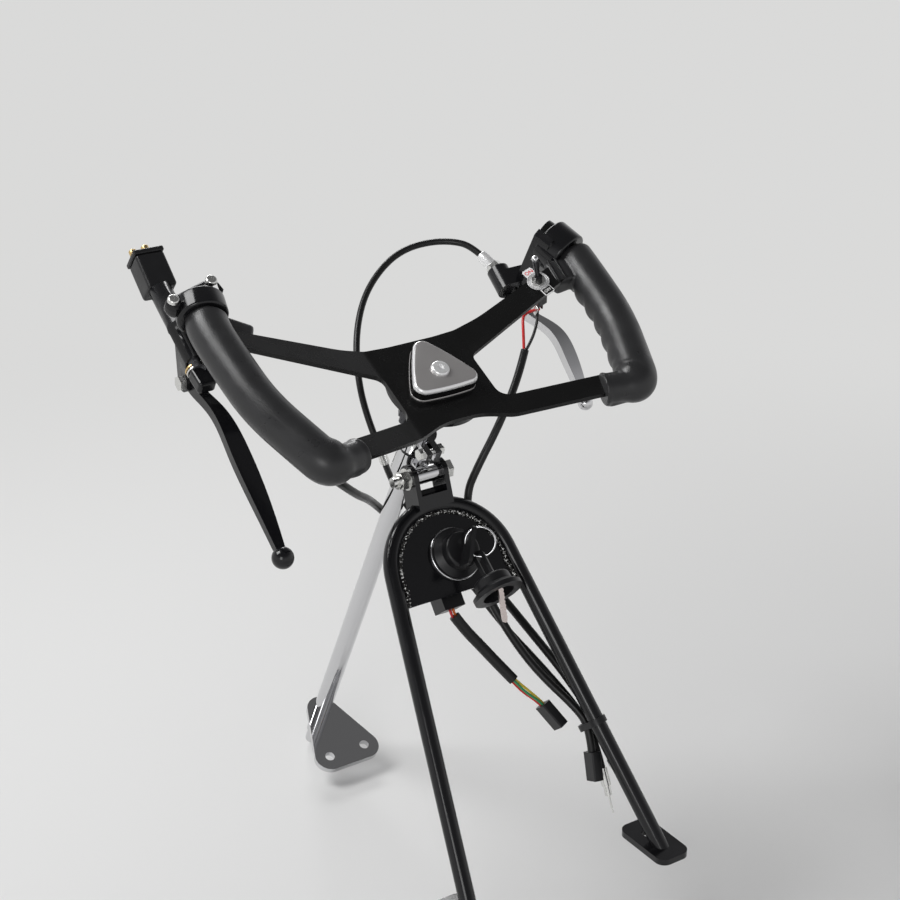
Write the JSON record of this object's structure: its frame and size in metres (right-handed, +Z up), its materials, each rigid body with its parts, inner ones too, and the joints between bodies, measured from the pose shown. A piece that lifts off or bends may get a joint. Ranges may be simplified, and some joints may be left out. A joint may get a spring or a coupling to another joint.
{
  "type": "kart steering assembly",
  "caption": "Yoke steering wheel with grips, brake levers and a toggle switch on a chromed column, carried by a tubular hoop with an ignition switch.",
  "frame": {"origin": "midway between the two foot bolt holes, on the underside of the hoop's feet", "axes": "+X to the driver's right, +Y forward along the vehicle, +Z up; the column leans back towards the driver"},
  "size_m": [0.3449, 0.4016, 0.5117],
  "materials": {
    "painted_steel": "satin black paint",
    "chrome_steel": "bright chrome",
    "zinc_steel": "zinc plated",
    "black_bolts": "black oxide",
    "liner_plastic": "matte black",
    "dark_chrome": "satin dark chrome",
    "grip_rubber": "matte moulded rubber",
    "tube_steel": "black",
    "black_casting": "gloss black",
    "brass": "plain",
    "polished_aluminium": "polished",
    "label_aluminium": "brushed",
    "cord_rubber": "smooth black"
  },
  "bodies": {
    "support": {"bracket": "painted_steel", "cable_end": "zinc_steel", "column_bearing": "chrome_steel", "column_liner": "liner_plastic", "cord_clip": "liner_plastic", "cross_bolt": "zinc_steel", "cross_nut": "zinc_steel", "foot_left": "painted_steel", "foot_right": "painted_steel", "gusset_plate": "painted_steel", "hoop": "painted_steel", "hose_union": "zinc_steel", "ignition_bezel": "chrome_steel", "ignition_body": "black_casting", "ignition_key": "liner_plastic", "ignition_lead": "cord_rubber", "ignition_plug": "liner_plastic", "ignition_wires": "cord_rubber", "key_ring": "zinc_steel", "spare_blade": "zinc_steel", "spare_key": "liner_plastic", "switch_plug": "liner_plastic"},
    "steering": {"banjo": "zinc_steel", "brake_cable": "cord_rubber", "brake_hose": "cord_rubber", "cable_adjuster": "zinc_steel", "cap": "dark_chrome", "cap_screw": "black_bolts", "collar": "chrome_steel", "collar_bolt": "zinc_steel", "column": "chrome_steel", "drop_plate": "chrome_steel", "grip_left": "grip_rubber", "grip_right": "grip_rubber", "grip_tube_left": "tube_steel", "grip_tube_right": "tube_steel", "hub": "chrome_steel", "hub_studs": "zinc_steel", "left_clamp": "black_casting", "left_clamp_bolts": "black_bolts", "left_clamp_cap": "black_casting", "left_pivot_bolt": "zinc_steel", "reservoir": "black_casting", "reservoir_lid": "black_casting", "reservoir_screws": "brass", "right_clamp": "black_casting", "right_clamp_bolts": "black_bolts", "right_clamp_cap": "black_casting", "right_pivot_bolt": "zinc_steel", "switch_bat": "zinc_steel", "switch_body": "liner_plastic", "switch_lead": "cord_rubber", "switch_nut": "zinc_steel", "switch_plate": "label_aluminium", "switch_wires": "cord_rubber", "yoke_plate": "painted_steel"},
    "left_lever": {"left_lever": "black_casting"},
    "right_lever": {"right_lever": "polished_aluminium"}
  },
  "joints": [
    {"name": "steering", "type": "hinge", "parent": "support", "child": "steering", "pos_m": [0, 0.15725, 0.34228], "axis": [0, -0.4428, 0.8966], "range_deg": [-35, 35], "deforming": ["brake_cable", "brake_hose", "switch_lead"]},
    {"name": "left_brake", "type": "hinge", "parent": "steering", "child": "left_lever", "pos_m": [-0.157, 0.24091, 0.34902], "axis": [-1, 0.0046, 0.0023], "range_deg": [0, 12], "stiffness_Nm_per_rad": 1.5, "springref_deg": -5.73},
    {"name": "right_brake", "type": "hinge", "parent": "steering", "child": "right_lever", "pos_m": [0.1315, 0.23822, 0.34769], "axis": [-0.9801, -0.1778, -0.0878], "range_deg": [0, 16], "stiffness_Nm_per_rad": 1, "springref_deg": -5.73}
  ]
}
